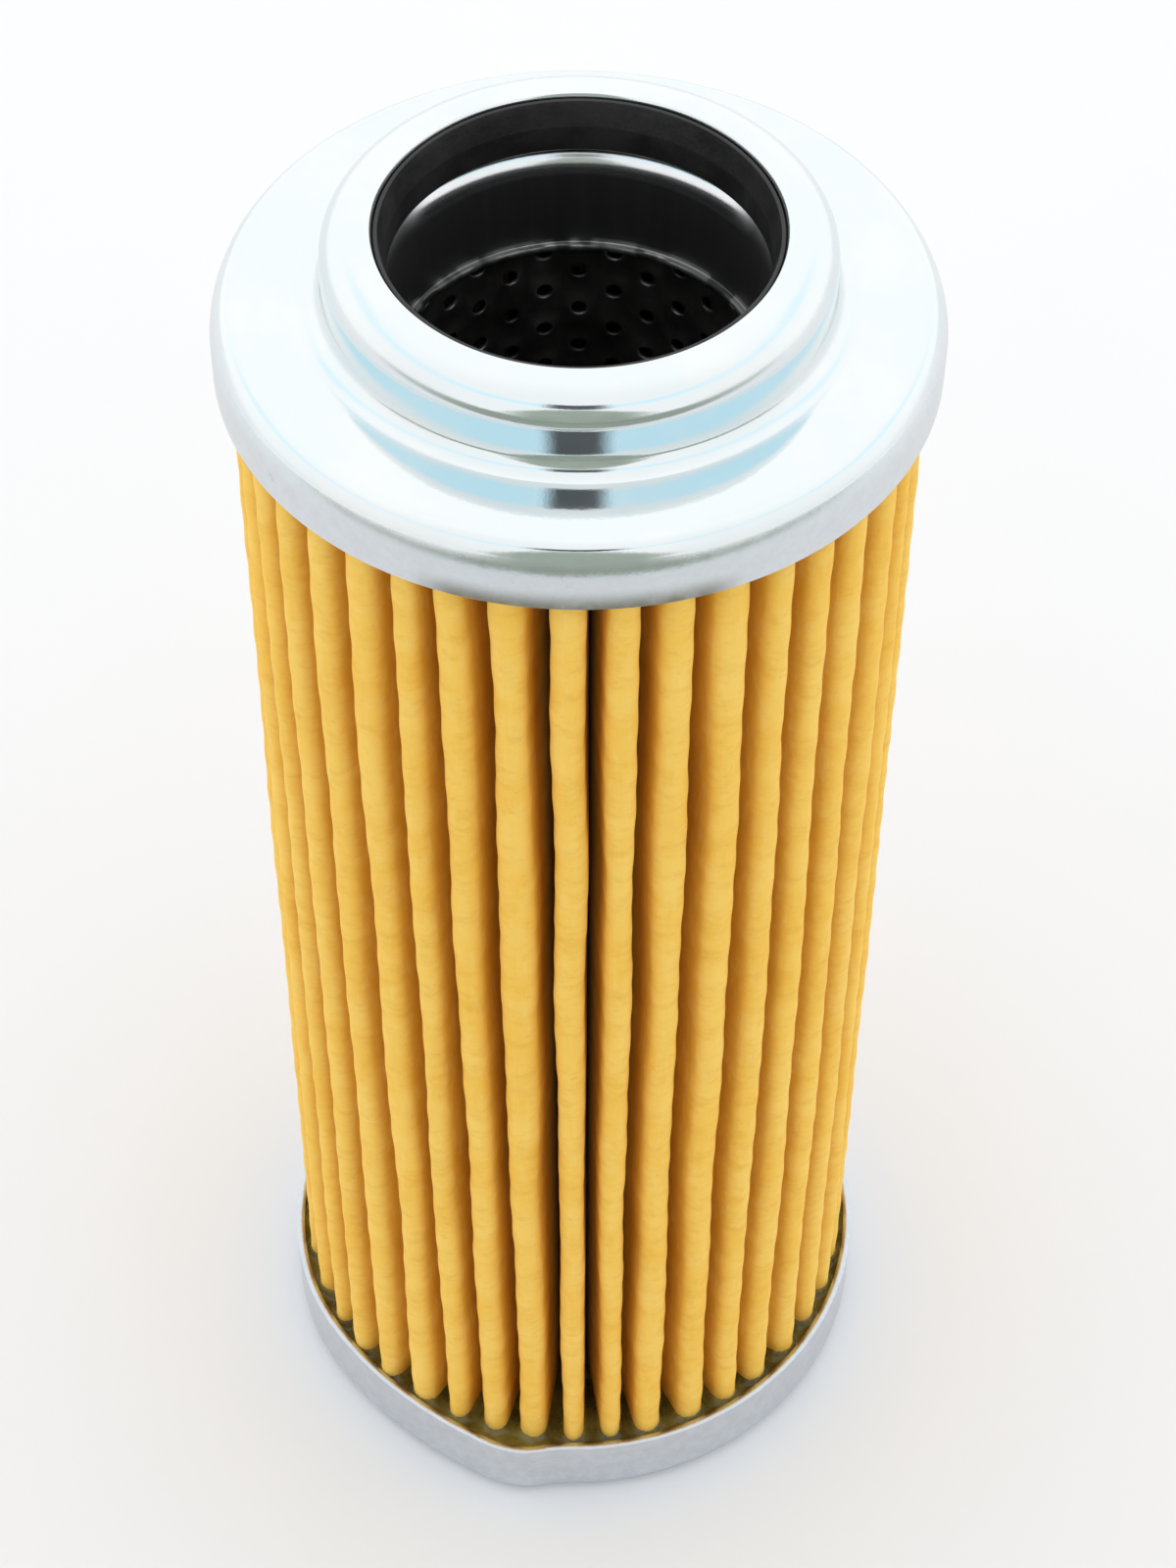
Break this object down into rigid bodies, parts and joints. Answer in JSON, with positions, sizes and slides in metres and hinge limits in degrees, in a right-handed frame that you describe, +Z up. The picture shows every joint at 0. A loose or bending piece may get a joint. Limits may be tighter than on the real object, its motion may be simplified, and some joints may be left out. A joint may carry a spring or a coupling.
{
  "type": "pleated hydraulic filter element",
  "caption": "Cylindrical oil filter element: pleated paper pack round a perforated tube, pressed steel end caps, and a collar with a rubber seal that seats on a spigot.",
  "frame": {"origin": "on the element's axis, at the flat base of the bottom cap", "axes": "+Z up along the element's axis to the collar; -Y is the side of the damaged stretch of the bottom rim"},
  "size_m": [0.052, 0.0524, 0.1266],
  "materials": {
    "bright_zinc": "gloss",
    "satin_zinc": "satin",
    "seal_rubber": "satin",
    "inner_steel": "gloss",
    "tube_steel": "satin",
    "filter_paper": "matte",
    "seam_glue": "satin",
    "cap_adhesive": "satin"
  },
  "bodies": {
    "root": {"top_cap": "bright_zinc", "bottom_cap": "satin_zinc", "seal_ring": "seal_rubber", "seal_seat_ring": "inner_steel", "core_tube": "tube_steel", "media_pack": "filter_paper", "side_seam": "seam_glue", "top_adhesive": "cap_adhesive", "bottom_adhesive": "cap_adhesive"}
  },
  "joints": []
}
